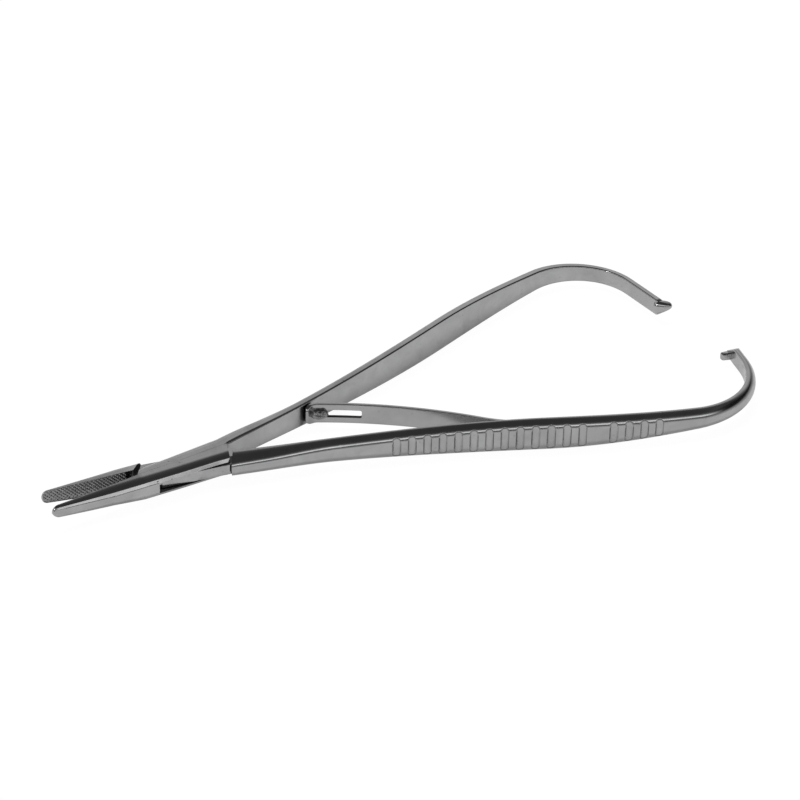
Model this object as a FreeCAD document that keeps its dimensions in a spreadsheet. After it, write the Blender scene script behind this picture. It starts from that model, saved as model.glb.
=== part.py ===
import FreeCAD, Part
import math
import os
from FreeCAD import Vector

# Needle holder with a box lock, two sprung arms and claws at the arm ends.
# Every shape is drawn with the jaws closed, in the plan of the instrument: X runs from the jaw
# tips (-X) to the arm ends (+X), Y across, Z up, and the pin's axis is the Z axis.
# Each half is then turned about the pin by open_half, which opens the instrument.

SIZES = {
    # opening and lock
    "open_half": 6.3, "lock_high": 5.36, "step_gap": 0.15,
    "crotch_front": 9.4, "front_slant": 39.0, "crotch_rear": 13.6, "rear_slant": 23.5,
    "arm_root_at": 14.4,
    "lock_front_thick": 3.15, "lock_rear_thick": 4.3, "box_rear_thick": 5.25,
    "slot_high": 2.7, "slot_end": 6.2, "web_gap": 0.1, "web_wide": 3.45, "hub_radius": 3.3,
    "pin_diameter": 3.0, "pin_fit": 0.04,
    # jaws
    "jaw_reach": 30.8, "jaw_lean": 1.2, "jaw_tip_high": 3.3, "jaw_tip_thick": 0.95, "jaw_root_thick": 3.75,
    "jaw_gap": 0.06, "relief_deep": 0.45, "relief_long": 3.4,
    # arms, from the crotch to the hook
    "arm_heading": 8.9, "straight_len": 14.3, "flare_len": 57.3, "flare_turn": 7.8,
    "belly_len": 35.9, "belly_high": 7.9, "end_high": 4.1,
    "arm_root_thick": 4.2, "arm_thick": 2.85, "end_thick": 2.3,
    "far_belly_turn": 7.25, "far_hook_radius": 14.5, "far_hook_turn": 101.0, "far_end_past": 3.8,
    "near_belly_turn": 11.3, "near_hook_radius": 18.7, "near_hook_turn": 89.5,
    "near_end_past": 2.4,
    # section and grip grooves
    "round_share": 0.63, "round_high": 2.3, "bevel": 0.28,
    "groove_start": 36.4, "groove_pitch": 3.58, "groove_wide": 1.9, "groove_deep": 0.45,
    # claws at the arm ends
    "nest_gap": 2.2, "claw_clear": 0.45, "nose_clear": 1.3, "claw_lap": 0.4,
    "claw_wide": 1.4, "nose_past": 3.0, "ramp_long": 3.7,
    # leaf spring, its screw and the stud that runs in its slot
    "leaf_thick": 1.0, "leaf_high": 5.0, "leaf_root_at": 69.5, "leaf_root_len": 13.0,
    "leaf_bend_radius": 31.7, "leaf_bend_turn": 23.7, "leaf_free_turn": 19.0,
    "leaf_curl_radius": 2.6, "leaf_curl_turn": 75.0, "leaf_seat": 0.1, "leaf_tip_gap": 0.25,
    "leaf_slot_len": 12.0, "leaf_slot_high": 2.0, "leaf_slot_lap": 1.3,
    "screw_diameter": 2.2, "screw_head_diameter": 4.0, "screw_head_high": 1.1,
    "screw_slot": 0.5, "stud_diameter": 1.6, "stud_head_long": 3.6, "stud_head_wide": 2.7,
    "stud_head_high": 1.1, "stud_lead": 2.35, "stud_sink": 1.6,
}

FIRST_GROOVES = 13        # grooves before the bare step of the grip
LAST_GROOVES = 4          # grooves after it
FAR, NEAR = 1, -1         # sign of Y of the far and the near arm
SHOULDER_FLATS = 5        # flats that round one shoulder of a section
OVERLAP = 0.5             # how far neighbouring stretches of one forging run into each other
BIG = 40.0                # a plan length beyond the lock's sides


doc = FreeCAD.newDocument("needle_holder")
sheet = doc.addObject("Spreadsheet::Sheet", "sizes")
for row, (name, value) in enumerate(SIZES.items(), start=1):
    sheet.set(f"A{row}", name)
    sheet.set(f"B{row}", str(value))
    sheet.setAlias(f"B{row}", name)
doc.recompute()


def size(name):
    """Value of one driving dimension of the sheet."""
    return float(getattr(sheet, name))


def blend(share):
    """Smooth step from 0 to 1."""
    share = min(max(share, 0.0), 1.0)
    return share * share * (3.0 - 2.0 * share)


def bezier(points):
    """One Bezier edge through its first and last point."""
    curve = Part.BezierCurve()
    curve.setPoles(points)
    return curve.toShape()


def d_wire(base, out, thick, high, inset=0.0):
    """D-shaped section: flat inner face set back by inset from base, shoulders rounded towards out
    in a few flats."""
    reach = size("round_share") * thick
    rise = min(size("round_high"), 0.43 * high)
    bevel = min(size("bevel"), 0.1 * high, 0.12 * thick)
    half = 0.5 * high
    turns = [math.radians(90.0 * k / SHOULDER_FLATS) for k in range(SHOULDER_FLATS + 1)]
    shoulder = [(thick + reach * (math.sin(turn) - 1.0), half + rise * (math.cos(turn) - 1.0))
                for turn in turns]
    upper = [(-inset, half - bevel), (bevel - inset, half)] + shoulder
    corners = upper + [(depth, -level) for depth, level in reversed(upper)]
    points = [base + out * depth + Vector(0, 0, level) for depth, level in corners]
    return Part.makePolygon(points + points[:1])


def prism(points, low, high):
    """Upright prism over a closed plan outline of corner points."""
    corners = [Vector(x, y, low) for x, y in points]
    wire = Part.makePolygon(corners + corners[:1])
    return Part.Face(wire).extrude(Vector(0, 0, high - low))


# Arm path: a straight run, the flare, the belly, the hook and a straight end, all tangent

def run(point, heading, length, turn):
    """End and heading of one run of a path: a line, or an arc that turns by turn degrees."""
    start = math.radians(heading)
    if abs(turn) < 1e-6:
        step = Vector(math.cos(start), math.sin(start), 0) * length
        return point + step, heading
    radius = length / math.radians(turn)
    stop = math.radians(heading + turn)
    step = Vector(math.sin(stop) - math.sin(start), math.cos(start) - math.cos(stop), 0) * radius
    return point + step, heading + turn


def along(start, heading, runs, distance):
    """Point and heading at a distance along a path of runs (length, turn)."""
    point = start
    for length, turn in runs:
        if distance <= length:
            share = distance / length
            return run(point, heading, distance, turn * share)
        point, heading = run(point, heading, length, turn)
        distance -= length
    return run(point, heading, distance, 0.0)


def arc_length(radius, turn):
    """Length of an arc of a radius over a turn in degrees."""
    return radius * math.radians(turn)


def arm_start():
    """Where the inner face of an arm leaves the lock."""
    return Vector(size("arm_root_at"), size("step_gap"), 0)


def arm_runs(side):
    """Runs of one arm's inner face, drawn on +Y. The near hook reaches round the far one."""
    front = [(size("straight_len"), 0.0), (size("flare_len"), size("flare_turn"))]
    hooks = {
        FAR: (size("far_belly_turn"), size("far_hook_radius"), size("far_hook_turn"),
              size("far_end_past")),
        NEAR: (size("near_belly_turn"), size("near_hook_radius"), size("near_hook_turn"),
               -size("near_end_past")),
    }
    belly_turn, radius, hook_turn, past = hooks[side]
    belly_len = size("belly_len")
    hook_len = arc_length(radius, hook_turn)
    if side == NEAR:
        far_end = end_of(FAR, arm_runs(FAR))[0].x
        wanted = far_end + size("end_thick") + size("nest_gap")
        trial = [front + [(length, -belly_turn), (hook_len, -hook_turn)]
                 for length in (belly_len, belly_len + 1.0)]
        reach = [end_of(side, closed_runs(runs, -past))[0].x for runs in trial]
        belly_len += (wanted - reach[0]) / (reach[1] - reach[0])
        past = -past
    runs = front + [(belly_len, -belly_turn), (hook_len, -hook_turn)]
    return closed_runs(runs, past)


def closed_runs(runs, past):
    """Adds the straight end that carries a path past the mid-line."""
    point, heading = along(arm_start(), size("arm_heading"), runs, total(runs))
    return runs + [((point.y + past) / -math.sin(math.radians(heading)), 0.0)]


def total(runs):
    """Length of a path."""
    return sum(length for length, turn in runs)


def end_of(side, runs):
    """End point and heading of an arm's inner face."""
    return along(arm_start(), size("arm_heading"), runs, total(runs))


def arm_point(side, distance):
    """Point, run direction and outward direction on an arm's inner face, on its own side of Y."""
    runs = ARM_RUNS[side]
    if distance < 0:
        point, heading = run(arm_start(), size("arm_heading"), distance, 0.0)
    else:
        point, heading = along(arm_start(), size("arm_heading"), runs, distance)
    angle = math.radians(heading)
    forward = Vector(math.cos(angle), side * math.sin(angle), 0)
    out = Vector(-math.sin(angle), side * math.cos(angle), 0)
    return Vector(point.x, side * point.y, 0), forward, out


def arm_high(side, distance):
    """Height of an arm: it swells from the lock to the belly and narrows to the hook."""
    runs = ARM_RUNS[side]
    lock, belly, end = size("lock_high"), size("belly_high"), size("end_high")
    widest = size("straight_len") + size("flare_len")
    slim = widest + runs[2][0] + 0.7 * runs[3][0]
    if distance < widest:
        lead = 0.4 * size("straight_len")
        return lock + (belly - lock) * blend((distance - lead) / (widest - lead))
    return belly + (end - belly) * blend((distance - widest) / (slim - widest))


def arm_thick(side, distance):
    """Thickness of an arm: stout at the lock, slim along the grip and slimmer at the end."""
    runs = ARM_RUNS[side]
    root, slim, end = size("arm_root_thick"), size("arm_thick"), size("end_thick")
    hook = total(runs[:3])
    if distance < hook:
        return root + (slim - root) * blend(distance / (1.6 * size("straight_len")))
    return slim + (end - slim) * blend((distance - hook) / runs[3][0])


ARM_RUNS = {FAR: arm_runs(FAR)}
ARM_RUNS[NEAR] = arm_runs(NEAR)


# Stretches of the two forgings

def arm_solid(side):
    """One arm from inside the lock block to the end of its hook."""
    runs = ARM_RUNS[side]
    hook = total(runs[:3])
    bend = runs[3][0]
    stations = [-2.0 * OVERLAP, 0.25 * runs[0][0], 0.7 * runs[0][0], 1.3 * runs[0][0]]
    stations += [1.3 * runs[0][0] + (hook - 1.3 * runs[0][0]) * k / 8.0 for k in range(1, 9)]
    stations += [hook + bend * k / 8.0 for k in range(1, 9)]
    stations += [total(runs)]
    wires = []
    for distance in stations:
        point, forward, out = arm_point(side, distance)
        wires.append(d_wire(point, out, arm_thick(side, distance), arm_high(side, distance)))
    return Part.makeLoft(wires, True, False, False, 3)


def jaw_thick(x):
    """Thickness of a jaw and of the outer wall of the box behind it, at a place along X."""
    root = -size("crotch_front")
    tip = -size("jaw_reach") + 0.5 * size("jaw_tip_high")
    if x < root:
        share = (x - tip) / (root - tip)
        return size("jaw_tip_thick") + (size("jaw_root_thick") - size("jaw_tip_thick")) * share
    share = (x - root) / (size("arm_root_at") - root)
    return size("jaw_root_thick") + (size("box_rear_thick") - size("jaw_root_thick")) * share


def jaw_line(x):
    """Y of the line on which the closed jaws meet: it leans a little off the pin's mid-line."""
    return max(-x, 0.0) * math.tan(math.radians(size("jaw_lean")))


def jaw_high(x):
    """Height of a jaw, which reaches the lock's height at its root."""
    root = -size("crotch_front")
    tip = -size("jaw_reach") + 0.5 * size("jaw_tip_high")
    share = min(max((x - tip) / (root - tip), 0.0), 1.0)
    return size("jaw_tip_high") + (size("lock_high") - size("jaw_tip_high")) * share


def jaw_solid(side, rear):
    """A jaw with its domed tip, run back to a place along X, its flat face past the mid-line."""
    radius = 0.5 * size("jaw_tip_high")
    centre = -size("jaw_reach") + radius
    root = -size("crotch_front")
    out = Vector(0, side, 0)
    wires = []
    for angle in (84.0, 72.0, 58.0, 43.0, 28.0, 13.0):
        turn = math.radians(angle)
        thick = size("jaw_tip_thick") * (0.35 + 0.65 * math.cos(turn))
        x = centre - radius * math.sin(turn)
        base = Vector(x, jaw_line(x), 0)
        wires.append(d_wire(base, out, thick, size("jaw_tip_high") * math.cos(turn), OVERLAP))
    places = [centre + (root - centre) * share for share in (0.0, 0.04, 0.13, 0.3, 0.52, 0.76, 1.0)]
    places += [root + (rear - root) * k / 4.0 for k in range(1, 5)]
    wires += [d_wire(Vector(x, jaw_line(x), 0), out, jaw_thick(x), jaw_high(x), OVERLAP)
              for x in places]
    return Part.makeLoft(wires, True, False, False, 3)


def block_solid(side):
    """The stretch of the lock that carries an arm, its flat face past the mid-line."""
    front, rear = -size("crotch_front") - OVERLAP, size("arm_root_at")
    first, last = size("lock_front_thick"), size("lock_rear_thick")
    wires = []
    for share in (0.0, 0.5, 1.0):
        base = Vector(front + (rear - front) * share, 0, 0)
        thick = first + (last - first) * share
        wires.append(d_wire(base, Vector(0, side, 0), thick, size("lock_high"), OVERLAP))
    return Part.makeLoft(wires, True, False, False, 3)


def front_zone(face, gap):
    """Room of the far jaw beyond a face on Y, in front of the slanted shoulder of the box."""
    x = -size("crotch_front") - gap
    lean = math.tan(math.radians(size("front_slant")))
    points = [(x, face + jaw_line(x)), (x + lean * BIG, BIG), (-2 * BIG, BIG),
              (-2 * BIG, face + jaw_line(-2 * BIG))]
    return prism(points, -BIG, BIG)


def rear_zone(reach):
    """Room of the near arm behind the slanted rear edge of the box, as far as reach along X."""
    x = size("crotch_rear")
    lean = math.tan(math.radians(size("rear_slant")))
    face = 0.6 * size("step_gap")
    return prism([(x, face), (x - lean * BIG, -BIG), (reach, -BIG), (reach, face)], -BIG, BIG)


def step_zone(reach):
    """What is taken off the near arm's root: all in front of its slanted step, and past the mid-line."""
    x = size("crotch_rear") + size("step_gap")
    lean = math.tan(math.radians(size("rear_slant")))
    face = -0.6 * size("step_gap")
    points = [(x, face), (x - lean * BIG, -BIG), (-2 * BIG, -BIG), (-2 * BIG, BIG),
              (reach, BIG), (reach, face)]
    return prism(points, -BIG, BIG)


def groove_tools(side):
    """Upright cylinders that cut the grip grooves into the outer face of one arm."""
    deep, wide = size("groove_deep"), size("groove_wide")
    radius = (0.25 * wide * wide + deep * deep) / (2.0 * deep)
    tools = []
    for number in range(FIRST_GROOVES + 1 + LAST_GROOVES):
        if number == FIRST_GROOVES:
            continue
        distance = size("groove_start") + number * size("groove_pitch")
        point, forward, out = arm_point(side, distance)
        centre = point + out * (arm_thick(side, distance) + radius - deep)
        length = size("belly_high")
        tools.append(Part.makeCylinder(radius, length, centre - Vector(0, 0, 0.5 * length)))
    return Part.makeCompound(tools)


def relief_tool(side):
    """Round-nosed cutter for the smooth hollow between the jaw's teeth and its shoulder."""
    deep, wide = size("relief_deep"), size("relief_long")
    radius = (0.25 * wide * wide + deep * deep) / (2.0 * deep)
    x = -size("crotch_front") - 0.55 * wide
    centre = Vector(x, jaw_line(x) + side * (deep - radius), -size("lock_high"))
    return Part.makeCylinder(radius, 2.0 * size("lock_high"), centre)


def nose_solid():
    """Upper half of the far arm's end: a rounded nose that passes over the near claw."""
    end, forward, out = arm_point(FAR, total(ARM_RUNS[FAR]))
    inner = end.x
    outer = inner + size("end_thick") + size("nest_gap") - size("nose_clear")
    tip = end.y - size("nose_past")
    top = 0.5 * size("end_high")
    corner = 0.4 * (outer - inner)
    root = end.y + size("nose_past")
    points = [
        Vector(inner, root, 0), Vector(inner + 0.1 * corner, tip + corner, 0),
        Vector(inner + corner, tip, 0), Vector(outer - corner, tip + 0.1 * corner, 0),
        Vector(outer, tip + 1.3 * corner, 0), Vector(outer, end.y + 0.3 * corner, 0),
        Vector(inner + size("end_thick"), root, 0),
    ]
    edges = [
        Part.makeLine(points[0], points[1]),
        bezier([points[1], Vector(inner + 0.15 * corner, tip + 0.2 * corner, 0), points[2]]),
        Part.makeLine(points[2], points[3]),
        bezier([points[3], Vector(outer, tip + 0.2 * corner, 0), points[4]]),
        Part.makeLine(points[4], points[5]),
        bezier([points[5], Vector(outer, end.y + 1.2 * corner, 0), points[6]]),
        Part.makeLine(points[6], points[0]),
    ]
    solid = Part.Face(Part.Wire(edges)).extrude(Vector(0, 0, top))
    rim = [edge for edge in solid.Edges
           if all(abs(v.Point.z - top) < 1e-6 for v in edge.Vertexes)
           and edge.CenterOfMass.x > inner + 0.6 * size("end_thick")]
    return solid.makeFillet(0.35 * top, rim)


def claw_solid():
    """Lower half of the near arm's end: a claw that points inwards."""
    end, forward, out = arm_point(NEAR, total(ARM_RUNS[NEAR]))
    tip = end.x - size("nest_gap") + size("claw_clear")
    low = -0.5 * size("end_high")
    wide = size("claw_wide")
    points = [(end.x + 0.5 * size("end_thick"), end.y), (tip + 0.3 * wide, end.y),
              (tip, end.y - 0.3 * wide), (tip + 0.1, end.y - wide),
              (end.x + 0.5 * size("end_thick"), end.y - 1.3 * wide)]
    return prism(points, low, -size("claw_lap"))


def ramp_tool():
    """Wedge that slopes the near arm's end from the claw up to the arm's top."""
    end, forward, out = arm_point(NEAR, total(ARM_RUNS[NEAR]))
    top = 0.5 * size("end_high")
    left, right = end.x - size("nest_gap") - 1.0, end.x + 2.0 * size("end_thick")
    corners = [Vector(left, end.y - size("ramp_long"), top),
               Vector(left, end.y, -size("claw_lap")),
               Vector(left, end.y + 1.0, -size("claw_lap")),
               Vector(left, end.y + 1.0, top + 1.0),
               Vector(left, end.y - size("ramp_long"), top + 1.0)]
    face = Part.Face(Part.makePolygon(corners + corners[:1]))
    return face.extrude(Vector(right - left, 0, 0))


def web_solid():
    """Thin web of the through half: it joins the near arm to the far jaw through the box."""
    half = 0.5 * size("slot_high") - size("web_gap")
    wide = size("web_wide")
    front, rear = size("crotch_front") + 1.5 * OVERLAP, size("crotch_rear") + 1.5 * OVERLAP
    near = prism([(0, 0), (rear, 0), (rear, -wide), (0, -wide)], -half, half)
    far = prism([(0, 0), (-front, 0), (-front, wide), (0, wide)], -half, half)
    hub = Part.makeCylinder(size("hub_radius"), 2.0 * half, Vector(0, 0, -half))
    return near.fuse([far, hub]).removeSplitter()


def slot_solid():
    """Slot of the box half: open to both sides over the pin, and along the web's two arms."""
    half = 0.5 * size("slot_high")
    gap, end = size("step_gap"), size("slot_end")
    points = [(-end, -BIG), (-end, -gap), (-BIG, -gap), (-BIG, BIG),
              (end, BIG), (end, gap), (BIG, gap), (BIG, -BIG)]
    return prism(points, -half, half)


def feature(name, shape):
    """A document object that holds one stretch of a forging."""
    item = doc.addObject("Part::Feature", name)
    item.Shape = shape
    return item


def joined(name, shapes):
    """A Part::MultiFuse of stretches."""
    item = doc.addObject("Part::MultiFuse", name)
    item.Shapes = shapes
    return item


def cut(name, base, tool):
    """A Part::Cut of one tool from a base."""
    item = doc.addObject("Part::Cut", name)
    item.Base = base
    item.Tool = tool
    return item


def common(name, base, tool):
    """A Part::Common of two shapes."""
    item = doc.addObject("Part::Common", name)
    item.Base = base
    item.Tool = tool
    return item


def cylinder(name, radius, height, middle=True):
    """A Part::Cylinder on the Z axis whose sizes are bound to the sheet."""
    item = doc.addObject("Part::Cylinder", name)
    item.setExpression("Radius", radius)
    item.setExpression("Height", height)
    if middle:
        item.setExpression("Placement.Base.z", f"-0.5 * ({height})")
    return item


def facing(x_axis, z_axis):
    """Rotation that lays a piece's X and Z along two square directions."""
    return FreeCAD.Rotation(x_axis, z_axis.cross(x_axis), z_axis, "ZXY")


def plain_cylinder(name, radius, height, base_z):
    """A Part::Cylinder whose foot stands at base_z, with sizes bound to the sheet."""
    item = doc.addObject("Part::Cylinder", name)
    item.setExpression("Radius", radius)
    item.setExpression("Height", height)
    item.Placement = FreeCAD.Placement(Vector(0, 0, base_z), FreeCAD.Rotation())
    return item


def posed(item, label, sign):
    """Names a finished sub-part, lifts it onto z = 0 and turns it open about the pin."""
    item.Label = label
    item.Placement = FreeCAD.Placement(Vector(), FreeCAD.Rotation(Vector(0, 0, 1), 1.0))
    item.setExpression("Placement.Base.z", "0.5 * sizes.lock_high")
    item.setExpression("Placement.Rotation.Angle", f"{sign} * sizes.open_half")
    return item


# Box half: near jaw, box with its slot, far arm

box_stretches = joined("box_stretches", [
    feature("near_jaw", jaw_solid(NEAR, size("arm_root_at"))),
    feature("far_block", block_solid(FAR)),
    feature("far_arm", arm_solid(FAR)),
    feature("far_nose", nose_solid()),
])
box_room = joined("box_room", [
    feature("far_jaw_room", front_zone(-0.5 * size("jaw_gap"), 0.0)),
    feature("near_arm_room", rear_zone(2.0 * size("arm_root_at"))),
])
box_shape = cut("box_shape", box_stretches, box_room)
box_slotted = cut("box_slotted", box_shape, feature("box_slot", slot_solid()))
box_bored = cut("box_bored", box_slotted,
                cylinder("pin_seat", "0.5 * sizes.pin_diameter", "2 * sizes.lock_high"))
box_relieved = cut("box_relieved", box_bored, feature("near_relief", relief_tool(NEAR)))
box_gripped = cut("box_gripped", box_relieved, feature("far_grooves", groove_tools(FAR)))


# Through half: far jaw, web, near arm

far_jaw = common("far_jaw_cut", feature("far_jaw", jaw_solid(FAR, 0.0)),
                 feature("far_jaw_zone", front_zone(0.5 * size("jaw_gap"), size("step_gap"))))
near_blank = joined("near_blank", [feature("near_block", block_solid(NEAR)),
                                   feature("near_arm", arm_solid(NEAR))])
near_arm = cut("near_arm_cut", near_blank,
               feature("near_step", step_zone(size("arm_root_at") + OVERLAP)))
near_ended = cut("near_ended", near_arm, feature("near_ramp", ramp_tool()))
through_stretches = joined("through_stretches", [
    far_jaw, near_ended, feature("web", web_solid()),
    feature("near_claw", claw_solid()),
])
through_bored = cut("through_bored", through_stretches,
                    cylinder("web_bore", "0.5 * sizes.pin_diameter + sizes.pin_fit",
                             "2 * sizes.lock_high"))
through_relieved = cut("through_relieved", through_bored,
                       feature("far_relief", relief_tool(FAR)))
through_gripped = cut("through_gripped", through_relieved,
                      feature("near_grooves", groove_tools(NEAR)))

# Lock pin, ground flush with both faces of the box

lock_pin = cylinder("lock_pin", "0.5 * sizes.pin_diameter", "sizes.lock_high", middle=False)
lock_pin.Label = "lock_pin"


# Leaf spring: flat on the near arm at its root, then across the gap to the far arm

def leaf_start():
    """Place of the leaf's middle layer where it leaves the near arm, and its heading."""
    point, forward, out = arm_point(NEAR, size("leaf_root_at"))
    point = point - out * (size("leaf_seat") + 0.5 * size("leaf_thick"))
    return point, math.degrees(math.atan2(-forward.y, -forward.x))


def leaf_runs(free_len):
    """Free runs of the leaf: a bend off the near arm, a long slow return and a curl at the tip."""
    return [(arc_length(size("leaf_bend_radius"), size("leaf_bend_turn")), -size("leaf_bend_turn")),
            (free_len, size("leaf_free_turn")),
            (arc_length(size("leaf_curl_radius"), size("leaf_curl_turn")), size("leaf_curl_turn"))]


def opened_far(vector):
    """Takes a place on the closed near half to where it stands beside the far half when open."""
    return FreeCAD.Rotation(Vector(0, 0, 1), -2.0 * size("open_half")).multVec(vector)


def far_foot(point):
    """Place along the far arm whose inner face is square to a point in the gap."""
    distance = size("straight_len")
    for step in range(12):
        face, forward, out = arm_point(FAR, distance)
        distance += (point - face).dot(forward)
    return distance


def tip_gap(free_len):
    """Gap between the curl of the leaf and the far arm's inner face, when open."""
    runs = leaf_runs(free_len)
    start, heading = leaf_start()
    root, heading = along(start, heading, runs[:2], total(runs[:2]))
    angle = math.radians(heading)
    centre = opened_far(root + Vector(-math.sin(angle), math.cos(angle), 0) * size("leaf_curl_radius"))
    face, forward, out = arm_point(FAR, far_foot(centre))
    return (face - centre).dot(out) - size("leaf_curl_radius") - 0.5 * size("leaf_thick")


def leaf_free_len():
    """Length of the leaf's long run that brings its curl up to the far arm."""
    length = 0.5 * size("flare_len")
    for step in range(8):
        slope = tip_gap(length + 0.5) - tip_gap(length - 0.5)
        length += (size("leaf_tip_gap") - tip_gap(length)) / slope
    return length


LEAF_RUNS = leaf_runs(leaf_free_len())


def leaf_point(distance):
    """Point, direction and left-hand direction on the leaf's middle layer."""
    if distance < 0:
        point, forward, out = arm_point(NEAR, size("leaf_root_at") - distance)
        return point - out * (size("leaf_seat") + 0.5 * size("leaf_thick")), -forward, out
    start, heading = leaf_start()
    point, heading = along(start, heading, LEAF_RUNS, distance)
    angle = math.radians(heading)
    ahead = Vector(math.cos(angle), math.sin(angle), 0)
    return point, ahead, Vector(-ahead.y, ahead.x, 0)


def leaf_solid():
    """Strip on edge: the outline of its two faces in plan, raised to the leaf's height."""
    half = 0.5 * size("leaf_thick")
    low = Vector(0, 0, -0.5 * size("leaf_high"))
    marks = [-size("leaf_root_len")] + [total(LEAF_RUNS[:k]) for k in range(4)]

    def spot(distance, offset):
        point, ahead, left = leaf_point(distance)
        return point + left * offset + low

    edges = []
    for offset in (half, -half):
        for first, last in zip(marks[:-1], marks[1:]):
            arc = Part.Arc(spot(first, offset), spot(0.5 * (first + last), offset), spot(last, offset))
            edges.append(arc.toShape())
    for end in (marks[0], marks[-1]):
        edges.append(Part.makeLine(spot(end, half), spot(end, -half)))
    outline = Part.Wire(Part.__sortEdges__(edges))
    return Part.Face(outline).extrude(Vector(0, 0, size("leaf_high")))


def leaf_window():
    """Round-ended slot near the leaf's tip, through its thickness."""
    long, high = size("leaf_slot_len"), size("leaf_slot_high")
    depth = 4.0 * size("leaf_thick")
    straight = long - high
    bar = Part.makeBox(straight, depth, high, Vector(-0.5 * straight, -0.5 * depth, -0.5 * high))
    ends = [Part.makeCylinder(0.5 * high, depth, Vector(x, -0.5 * depth, 0), Vector(0, 1, 0))
            for x in (-0.5 * straight, 0.5 * straight)]
    window = bar.fuse(ends).removeSplitter()
    point, ahead, left = leaf_point(total(LEAF_RUNS[:2]) + size("leaf_slot_lap") - 0.5 * long)
    window.Placement = FreeCAD.Placement(point, facing(ahead, Vector(0, 0, 1)))
    return window


# Screw of the leaf, drawn along Z from the underside of its head, and its clearance hole

def screw_pose(item):
    """Sets a piece on the leaf's root, its Z pointing out through the leaf into the near arm."""
    point, ahead, into = leaf_point(-0.5 * size("leaf_root_len"))
    face = point - into * (0.5 * size("leaf_thick") + size("leaf_seat"))
    turn = facing(ahead, into)
    item.Placement = FreeCAD.Placement(face + turn.multVec(item.Placement.Base),
                                       turn.multiply(item.Placement.Rotation))
    return item


leaf_hole = screw_pose(plain_cylinder("leaf_hole", "0.5 * sizes.screw_diameter + sizes.leaf_seat",
                                      "4 * sizes.leaf_thick", -size("leaf_thick")))
leaf_strip = cut("leaf_strip", feature("leaf_blank", leaf_solid()),
                 feature("leaf_window", leaf_window()))
leaf_spring = posed(cut("leaf_spring", leaf_strip, leaf_hole), "leaf_spring", -1)

screw_shank = "sizes.leaf_thick + 2 * sizes.leaf_seat + 0.65 * sizes.arm_thick"
screw_head = screw_pose(plain_cylinder("screw_head", "0.5 * sizes.screw_head_diameter",
                                       "sizes.screw_head_high", -size("screw_head_high")))
screw_stem = screw_pose(plain_cylinder("screw_stem", "0.5 * sizes.screw_diameter",
                                       f"{screw_shank} + 0.2 * sizes.screw_head_high",
                                       -0.2 * size("screw_head_high")))
screw_nick = doc.addObject("Part::Box", "screw_nick")
screw_nick.setExpression("Length", "2 * sizes.screw_head_diameter")
screw_nick.setExpression("Width", "sizes.screw_slot")
screw_nick.setExpression("Height", "sizes.screw_slot")
screw_nick.Placement = FreeCAD.Placement(
    Vector(-size("screw_head_diameter"), -0.5 * size("screw_slot"), -size("screw_head_high")),
    FreeCAD.Rotation())
screw_pose(screw_nick)
spring_screw = posed(cut("spring_screw", joined("screw_blank", [screw_head, screw_stem]),
                         screw_nick), "spring_screw", -1)

screw_seat = screw_pose(plain_cylinder("screw_seat", "0.5 * sizes.screw_diameter", screw_shank, 0.0))
through_half = posed(cut("through_half", through_gripped, screw_seat), "through_half", -1)

# Stud of the far arm: shank through the slot, oval head hammered over the leaf

def stud_frame():
    """Middle of the stud's head over the leaf's slot, the leaf's direction there, and the foot
    of the stud on the far arm's inner face; all as they stand on the far half when open."""
    point, ahead, left = leaf_point(total(LEAF_RUNS[:2]) + size("leaf_slot_lap") - size("stud_lead"))
    over = 0.5 * size("leaf_thick") + size("leaf_seat")
    head = opened_far(point + left * over)
    return head, opened_far(ahead), arm_point(FAR, far_foot(head))


def stud_pose(item):
    """Sets a piece on the far arm's inner face, its Z pointing across the gap to the leaf."""
    head, ahead, (foot, forward, out) = stud_frame()
    turn = facing(forward, -out)
    item.Placement = FreeCAD.Placement(foot + turn.multVec(item.Placement.Base),
                                       turn.multiply(item.Placement.Rotation))
    return item


def head_solid():
    """Hammered oval head: a low dome of ever smaller ovals, its long side along X."""
    long, wide, high = size("stud_head_long"), size("stud_head_wide"), size("stud_head_high")
    wires = []
    for share, level in ((0.94, 0.0), (1.0, 0.3), (0.83, 0.72), (0.45, 1.0)):
        oval = Part.Ellipse(Vector(0, 0, level * high), 0.5 * long * share, 0.5 * wide * share)
        wires.append(Part.Wire([oval.toShape()]))
    return Part.makeLoft(wires, True, True)


stud_seat = stud_pose(plain_cylinder("stud_seat", "0.5 * sizes.stud_diameter",
                                     "2 * sizes.stud_sink", -size("stud_sink")))
box_half = posed(cut("box_half", box_gripped, stud_seat), "box_half", 1)

head_at, head_ahead, (foot_at, foot_forward, foot_out) = stud_frame()
stand = (foot_at - head_at).dot(foot_out)
stud_stem = stud_pose(plain_cylinder("stud_stem", "0.5 * sizes.stud_diameter",
                                     f"sizes.stud_sink + {stand} + 0.2 * sizes.stud_head_high",
                                     -size("stud_sink")))
head_up = Vector(-head_ahead.y, head_ahead.x, 0)
stud_dome = feature("stud_dome", head_solid())
stud_dome.Placement = FreeCAD.Placement(head_at, facing(head_ahead, head_up))
slot_stud = posed(joined("slot_stud", [stud_stem, stud_dome]), "slot_stud", 1)

doc.recompute()
nodes = (box_half, through_half, lock_pin, leaf_spring, spring_screw, slot_stud)
for item in doc.Objects:
    if "Invalid" in item.State or "Error" in item.State:
        raise RuntimeError(f"{item.Name} did not recompute")
for item in nodes:
    shape = item.Shape
    if shape.isNull() or not shape.isValid() or len(shape.Solids) != 1:
        raise RuntimeError(f"{item.Label} is not one sound solid")
os.makedirs("parts", exist_ok=True)
for item in nodes:
    item.Shape.exportStep(f"parts/{item.Label}.step")
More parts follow.
